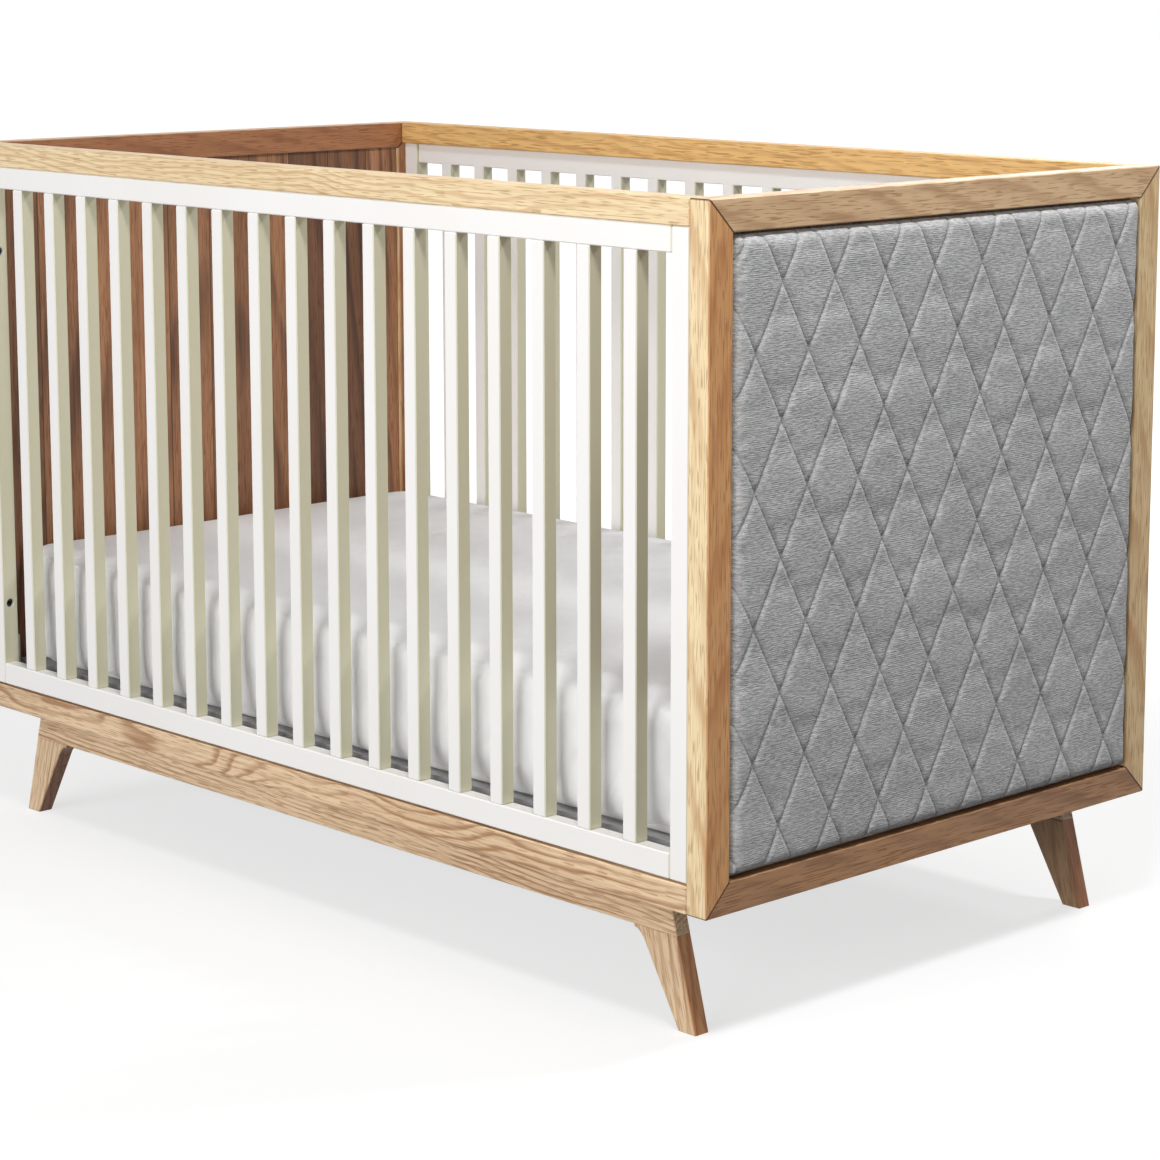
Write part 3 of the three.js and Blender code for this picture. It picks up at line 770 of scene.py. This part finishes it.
# %% White cotton
# Painted shade: the top gets these greyer whites, the sides a plain white.
SHADED_TOP_WHITES = (0.79, 0.798, 0.815, 1), (0.83, 0.838, 0.855, 1)
SIDE_WHITE = (0.905, 0.907, 0.912, 1)

cotton, tree, shader = new_finish("white_cotton", Roughness=0.85, Sheen_Weight=0.15, Sheen_Roughness=0.6)
where = object_space(tree)
threads = place_group(tree, weave, {"Vector": where, "Thread": 0.0006})
soft = ease(tree, cloud(tree, where, (9.0,) * 3).outputs[0], 0.3, 0.7)
upward = parts(tree, put(tree, "TexCoord").outputs["Normal"])[2]
on_top = ease(tree, upward, 0.35, 0.90)
shaded_top_white = blend(tree, soft, *SHADED_TOP_WHITES)
tree.links.new(blend(tree, on_top, SIDE_WHITE, shaded_top_white), shader.inputs["Base Color"])
rumple = cloud(tree, where, (60.0, 60.0, 30.0), 3.0).outputs[0]
crumple = calc(tree, "MULTIPLY_ADD", threads["Height"], 0.04, rumple)
x, y, z = parts(tree, where)
lean_x, lean_y = calc(tree, "MULTIPLY_ADD", z, -0.5, x), calc(tree, "MULTIPLY_ADD", z, 0.4, y)
leaning = put(tree, "CombineXYZ", {0: lean_x, 1: lean_y, 2: calc(tree, "MULTIPLY", z, 0.3)}).outputs[0]
pressed = cloud(tree, leaning, (11.0,) * 3, 2.5).outputs[0]
crease = ease(tree, calc(tree, "ABSOLUTE", calc(tree, "SUBTRACT", pressed, 0.5)), 0.0, 0.16)
crease = calc(tree, "MULTIPLY", crease, calc(tree, "SUBTRACT", 1.0, on_top))
crumple = calc(tree, "MULTIPLY_ADD", crease, 2.2, crumple)
raise_skin(tree, shader, crumple, 0.002, 0.7)
print("white cotton has", len(tree.nodes), "nodes")

# %% [markdown]
# ## Fitted sheet
#
# The sheet is drawn over the core and held under its edge by elastic. Its sides
# are cut a little too long, so they hang in soft leaning folds. It starts as the
# mattress's own shape, cut open underneath. A faint pattern of folds is pushed
# into its sides and settles as cloth. How far a point may move out is capped, so
# that the sheet still passes between the rails, and the hollows of the folds are
# pressed in a little deeper. Its lower edge is then gathered in.

# %% Fitted sheet
HEM, VOXEL = 0.05, 0.010
HELD_RISE, HELD_INSIDE, CORNER_REACH = 0.010, 0.03, 0.25
FOLD, FOLD_OUT, FOLD_IN, FOLD_SINK = 0.007, 0.0032, 0.0045, 0.010
TUCK, TUCK_HEIGHT = 0.010, 0.045
TUCK_ABOUT = Vector((0.60, 0.29, 0))
SIDE_HEIGHT = CORE_HIGH.z - CORE_LOW.z


def remeshed(piece, voxel):
    modifier = piece.modifiers.new("remesh", "REMESH")
    modifier.mode, modifier.voxel_size = "VOXEL", voxel
    evaluated = piece.evaluated_get(bpy.context.evaluated_depsgraph_get())
    even = bpy.data.meshes.new_from_object(evaluated)
    piece.modifiers.remove(modifier)
    piece.data = even


def drop_share(spot):
    return (CORE_HIGH.z - spot.z) / SIDE_HEIGHT


def along_side(spot):
    return spot.x if abs(spot.y) > CORE_HIGH.y - CORNER else spot.y


def first_fold(spot):
    lean = along_side(spot) + 0.05 * drop_share(spot)
    fold = noise.noise(Vector((lean * 5, drop_share(spot) * 1.3, spot.y * 0.5)))
    return fold + 0.5 * noise.noise(Vector((lean * 16, drop_share(spot) * 2.6, 5.0 + spot.y * 0.5)))


def hollow(spot):
    slant = Vector((spot.x - 0.5 * spot.z, spot.y + 0.4 * spot.z, 0.3 * spot.z)) * 14
    return max(0.0, noise.noise(slant)) * min(1.0, max(0.0, 4 * drop_share(spot) - 0.4))


def tucked_in(start, rise):
    gather = 0.7 + 0.9 * noise.noise(Vector((along_side(start) * 17, 3.0, start.y * 0.5)))
    inward = TUCK * (1 - rise / TUCK_HEIGHT) ** 2 * min(1.0, max(0.35, gather))
    centre = Vector((
        max(-TUCK_ABOUT.x, min(TUCK_ABOUT.x, start.x)),
        max(-TUCK_ABOUT.y, min(TUCK_ABOUT.y, start.y)), start.z,
    ))
    away = start - centre
    return away.normalized() * inward if away.length > TUCK else Vector()


sheet = finish_piece(cushion_block(*SHEET_SHAPE), "fitted_sheet", MATTRESS, cotton)
remeshed(sheet, VOXEL)
shape = bmesh.new()
shape.from_mesh(sheet.data)
under = [v for v in shape.verts if v.co.z < CORE_LOW.z + 0.004
         and abs(v.co.x) < CORE_HIGH.x - HEM and abs(v.co.y) < CORE_HIGH.y - HEM]
bmesh.ops.delete(shape, geom=under, context="VERTS")
shape.to_mesh(sheet.data)
shape.free()
flat = [vertex.co.copy() for vertex in sheet.data.vertices]
held, loose = [], sheet.vertex_groups.new(name="slack")
for index, spot in enumerate(flat):
    side_x, side_y = CORE_HIGH.x - abs(spot.x), CORE_HIGH.y - abs(spot.y)
    if spot.z < CORE_LOW.z + HELD_RISE or min(side_x, side_y) > HELD_INSIDE:
        held.append(index)
    corner = max(0.0, 1 - math.hypot(side_x, side_y) / CORNER_REACH)
    loose.add([index], min(1.0, max(0.0, drop_share(spot) * (0.8 + corner))), "REPLACE")
sheet.vertex_groups.new(name="held").add(held, 1.0, "REPLACE")
for vertex in sheet.data.vertices:
    if 0.05 < drop_share(vertex.co) < 0.97:
        vertex.co += vertex.normal * FOLD * first_fold(vertex.co)
draped = [vertex.co.copy() for vertex in sheet.data.vertices]
draped = run_cloth(sheet, "held", pressure=0.6, slack=-0.03, slack_group="slack")
most = 0.0
for vertex, start, end in zip(sheet.data.vertices, flat, draped):
    shift = end - start
    most = max(most, shift.length)
    if shift.length > 1e-9:
        limit = FOLD_OUT if shift.dot(vertex.normal) > 0 else FOLD_IN
        shift *= limit * math.tanh(shift.length / limit) / shift.length
    vertex.co = start + shift
    vertex.co -= vertex.normal * FOLD_SINK * hollow(start)
    rise = vertex.co.z - CORE_LOW.z
    if rise < TUCK_HEIGHT:
        vertex.co -= tucked_in(start, rise)
finer = subdivided(sheet)
for polygon in finer.polygons:
    polygon.use_smooth = True
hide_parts("mattress")
print("sheet moved", round(1000 * most, 1), "mm before the cap;", 2 * len(finer.polygons), "triangles")

# %% [markdown]
# ## Panel bolts
#
# Eight bolts pass through the stiles into the posts. Each head sits in its
# counterbore with a hexagonal socket. The head is one disc, inset and pushed
# in, which is quicker and cleaner than a boolean cut.

# %% Panel bolts
def socket_bolt(length, shank, head, head_height, socket, socket_depth):
    bolt = bmesh.new()
    bmesh.ops.create_circle(bolt, cap_ends=True, radius=socket, segments=6)
    wall = bmesh.ops.extrude_edge_only(bolt, edges=open_edges(bolt))["geom"]
    bmesh.ops.translate(bolt, vec=(0, 0, socket_depth), verts=points_of(wall))
    bmesh.ops.translate(bolt, vec=(0, 0, head_height - socket_depth), verts=bolt.verts)
    mouth = open_edges(bolt)
    ring = bmesh.ops.create_circle(bolt, radius=head * 0.9, segments=24)["verts"]
    bmesh.ops.translate(bolt, vec=(0, 0, head_height), verts=ring)
    outline = [edge for edge in bolt.edges if edge.is_wire]
    bmesh.ops.bridge_loops(bolt, edges=mouth + outline)
    for radius, height in ((head, head_height * 0.85), (head, 0.0), (shank, 0.0), (shank, -length)):
        grown = bmesh.ops.extrude_edge_only(bolt, edges=open_edges(bolt))["geom"]
        for vertex in points_of(grown):
            vertex.co.xy = vertex.co.xy.normalized() * radius
            vertex.co.z = height
    bmesh.ops.holes_fill(bolt, edges=open_edges(bolt))
    bmesh.ops.recalc_face_normals(bolt, faces=bolt.faces)
    return bolt


STILE_LOW, STILE_HIGH = (Vector(corner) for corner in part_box("front_panel_right_stile"))
BOLT_INSET = 0.144
COUNTERBORE = 0.008
BOLT = {
    "length": 0.028, "shank": 0.0032, "head": 0.0052, "head_height": 0.005,
    "socket": 0.0027, "socket_depth": 0.003,
}
BODY_LOW, BODY_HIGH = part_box("front_bottom_rail")[0][2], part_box("front_top_rail")[1][2]
bolt_count = 0
for face, forward in (("front", -1), ("back", 1)):
    for side, outward in (("left", -1), ("right", 1)):
        for level, height in (("lower", BODY_LOW + BOLT_INSET), ("upper", BODY_HIGH - BOLT_INSET)):
            bolt = socket_bolt(**BOLT)
            lay = Matrix.Rotation(-outward * math.pi / 2, 4, "Y")
            middle_y = forward * abs(STILE_LOW.y + STILE_HIGH.y) / 2
            seat = (outward * (STILE_LOW.x + COUNTERBORE), middle_y, height)
            bmesh.ops.transform(bolt, matrix=Matrix.Translation(seat) @ lay, verts=bolt.verts)
            name = f"{face}_{side}_{level}_panel_bolt"
            piece = finish_piece(bolt, name, CRIB, black_oxide, smooth=False)
            bolt_count += 1
print(bolt_count, "panel bolts")

# %% [markdown]
# ## Threaded inserts
#
# The support's bolts screw into brass inserts in the backs of the stiles, three
# in each, 90 mm apart. An insert is a flanged tube: a profile spun once round.

# %% Threaded inserts
INSERT_RISE, HEIGHT_STEP, HEIGHTS = 0.023, 0.090, 3
INSERT = {"inner": 0.0031, "outer": 0.0039, "flange": 0.0041, "length": 0.012}
FLANGE_BACK, FLANGE_LIP, INSERT_PROUD = 0.0012, 0.0010, 0.0004


def flanged_tube(inner, outer, flange, length):
    tube = bmesh.new()
    bore, body = [(inner, 0), (inner, length)], [(outer, length), (outer, FLANGE_BACK)]
    profile = bore + body + [(flange, FLANGE_LIP), (flange, 0)]
    corners = [tube.verts.new((radius, 0, height)) for radius, height in profile]
    edges = [tube.edges.new((a, b)) for a, b in zip(corners, corners[1:] + corners[:1])]
    bmesh.ops.spin(
        tube, geom=corners + edges, axis=(0, 0, 1), cent=(0, 0, 0),
        angle=2 * math.pi, steps=20, use_merge=True,
    )
    bmesh.ops.remove_doubles(tube, verts=tube.verts, dist=1e-6)
    bmesh.ops.recalc_face_normals(tube, faces=tube.faces)
    return tube


support_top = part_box("mattress_support_frame")[1][2]
for face, forward in (("front", -1), ("back", 1)):
    for side, outward in (("left", -1), ("right", 1)):
        for level in range(HEIGHTS):
            tube = flanged_tube(**INSERT)
            lay = Matrix.Rotation(-forward * math.pi / 2, 4, "X")
            mouth = (
                outward * (STILE_LOW.x + STILE_HIGH.x) / 2,
                forward * (abs(STILE_HIGH.y) + INSERT_PROUD),
                support_top + INSERT_RISE + level * HEIGHT_STEP,
            )
            bmesh.ops.transform(tube, matrix=Matrix.Translation(mouth) @ lay, verts=tube.verts)
            name = f"{face}_{side}_insert_{level + 1}"
            piece = finish_piece(tube, name, CRIB, insert_brass, smooth=False)
print(4 * HEIGHTS, "inserts")

# %% [markdown]
# ## Coil springs
#
# Short coils tie the wires to the angle frame and give the deck its spring.
# A coil is a small ring of points, spun and moved forward at the same time.

# %% Coil springs
COIL, COIL_WIRE, COIL_LENGTH = 0.0034, 0.0007, 0.036
TURNS, STEPS_A_TURN = 9, 9


def coil():
    spring = bmesh.new()
    bmesh.ops.create_circle(spring, cap_ends=False, radius=COIL_WIRE, segments=5)
    turn = Matrix.Rotation(math.pi / 2, 3, "X")
    bmesh.ops.rotate(spring, cent=(0, 0, 0), matrix=turn, verts=spring.verts)
    bmesh.ops.translate(spring, vec=(COIL, 0, 0), verts=spring.verts)
    steps = TURNS * STEPS_A_TURN
    bmesh.ops.spin(
        spring, geom=spring.verts[:] + spring.edges[:], axis=(0, 0, 1), cent=(0, 0, 0),
        dvec=(0, 0, COIL_LENGTH / steps), angle=2 * math.pi * TURNS, steps=steps,
    )
    bmesh.ops.holes_fill(spring, edges=open_edges(spring))
    bmesh.ops.recalc_face_normals(spring, faces=spring.faces)
    return spring


frame_low, frame_high = (Vector(corner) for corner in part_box("mattress_support_frame"))
wire_low, wire_high = (Vector(corner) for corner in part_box("mattress_support_springs"))
FLANGE, FLANGE_GAP, WIRE = 0.024, 0.002, 0.004
LONG_WIRES, CROSS_WIRES = 7, 13
level_cross = wire_high.z - WIRE / 2
level_long = wire_low.z + WIRE / 2
one = bpy.data.meshes.new("coil")
pattern = coil()
pattern.to_mesh(one)
pattern.free()
springs = bmesh.new()


def add_coil(matrix):
    before = len(springs.verts)
    springs.from_mesh(one)
    springs.verts.ensure_lookup_table()
    bmesh.ops.transform(springs, matrix=matrix, verts=springs.verts[before:])


for end in (-1, 1):
    for index in range(LONG_WIRES):
        y = ((index + 1) / (LONG_WIRES + 1) - 0.5) * (frame_high.y - frame_low.y - 2 * FLANGE)
        start = (end * (frame_high.x - FLANGE - FLANGE_GAP), y, level_long)
        add_coil(Matrix.Translation(start) @ Matrix.Rotation(-end * math.pi / 2, 4, "Y"))
    for index in range(CROSS_WIRES):
        x = ((index + 1) / (CROSS_WIRES + 1) - 0.5) * (frame_high.x - frame_low.x - 2 * FLANGE)
        start = (x, end * (frame_high.y - FLANGE - FLANGE_GAP), level_cross)
        add_coil(Matrix.Translation(start) @ Matrix.Rotation(end * math.pi / 2, 4, "X"))
deck_springs = finish_piece(springs, "deck_coil_springs", SUPPORT, drawn_wire)
print("coil springs", 2 * (LONG_WIRES + CROSS_WIRES))

# %% [markdown]
# ## Floor and light
#
# A pale seamless floor, one wide soft lamp in front, a small one high on each
# side of the right end, a fill behind the left end and an even sky. The sky and
# the floor look white to the camera and in reflections, but light the crib at a
# plain level.

# %% Floor
MATT, SHOWN = (0.08, 0.08, 0.08, 1), (0.36, 0.36, 0.363, 1)
GLOW_NEAR, GLOW_FAR = (1.1, 0.68), (2.4, 1.0)  # distance in metres, strength


def seen_white(tree):
    path = put(tree, "LightPath").outputs
    mirrored = calc(tree, "MAXIMUM", path["Is Glossy Ray"], path["Is Transmission Ray"])
    return calc(tree, "MAXIMUM", path["Is Camera Ray"], mirrored)


floor_shape = bmesh.new()
bmesh.ops.create_circle(floor_shape, cap_ends=True, radius=40.0, segments=64)
floor_mesh = bpy.data.meshes.new("studio_floor")
floor_shape.to_mesh(floor_mesh)
floor_shape.free()
floor = bpy.data.objects.new("studio_floor", floor_mesh)
bpy.context.collection.objects.link(floor)
floor_paint = bpy.data.materials.new("studio_floor")
floor_paint.use_nodes = True
tree = floor_paint.node_tree
tree.nodes.clear()
matt = put(tree, "BsdfDiffuse", {"Color": MATT}).outputs[0]
shown = put(tree, "BsdfDiffuse", {"Color": SHOWN}).outputs[0]
far = put(tree, "VectorMath", {0: object_space(tree)}, operation="LENGTH").outputs["Value"]
strength = ease(tree, far, GLOW_NEAR[0], GLOW_FAR[0], GLOW_NEAR[1], GLOW_FAR[1])
glow = put(tree, "Emission", {"Color": (1, 1, 1, 1), "Strength": strength}).outputs[0]
bright = put(tree, "AddShader", {0: shown, 1: glow}).outputs[0]
either = put(tree, "MixShader", {0: seen_white(tree), 1: matt, 2: bright}).outputs[0]
put(tree, "OutputMaterial", {"Surface": either})
floor_mesh.materials.append(floor_paint)
print("floor shown at", SHOWN[0], "and lights the crib as", MATT[0])

# %% Sky and lamps
SKY = 0.23
sky = bpy.data.worlds.new("studio_sky")
bpy.context.scene.world = sky
sky.use_nodes = True
tree = sky.node_tree
tree.nodes.clear()
soft = put(tree, "Background", {"Color": (1.0, 0.985, 0.95, 1), "Strength": SKY}).outputs[0]
white = put(tree, "Background", {"Color": (1, 1, 1, 1), "Strength": 1.0}).outputs[0]
either = put(tree, "MixShader", {0: seen_white(tree), 1: soft, 2: white}).outputs[0]
put(tree, "OutputWorld", {"Surface": either})


def soft_box(name, place, aim, width, height, power):
    lamp = bpy.data.lights.new(name, "AREA")
    lamp.shape, lamp.size, lamp.size_y, lamp.energy = "RECTANGLE", width, height, power
    holder = bpy.data.objects.new(name, lamp)
    holder.location = place
    holder.rotation_euler = (Vector(aim) - Vector(place)).to_track_quat("-Z", "Y").to_euler()
    holder.visible_camera = False
    bpy.context.collection.objects.link(holder)
    return power


lamps = [
    soft_box("key_light", (0.5, -4.4, 1.25), (0, 0, 0.45), 4.4, 1.8, 142),
    soft_box("side_light", (1.5, -1.2, 2.8), (0.65, 0, 0.6), 0.45, 0.45, 32),
    soft_box("back_light", (1.4, 1.4, 2.6), (0.65, 0.1, 0.6), 0.40, 0.40, 30),
    soft_box("fill_light", (-1.4, 3.3, 2.8), (-0.5, 0, 0.5), 1.0, 1.0, 36),
]
bpy.context.scene.view_settings.view_transform = "Standard"
print("sky", SKY, "and soft boxes of", lamps, "W")
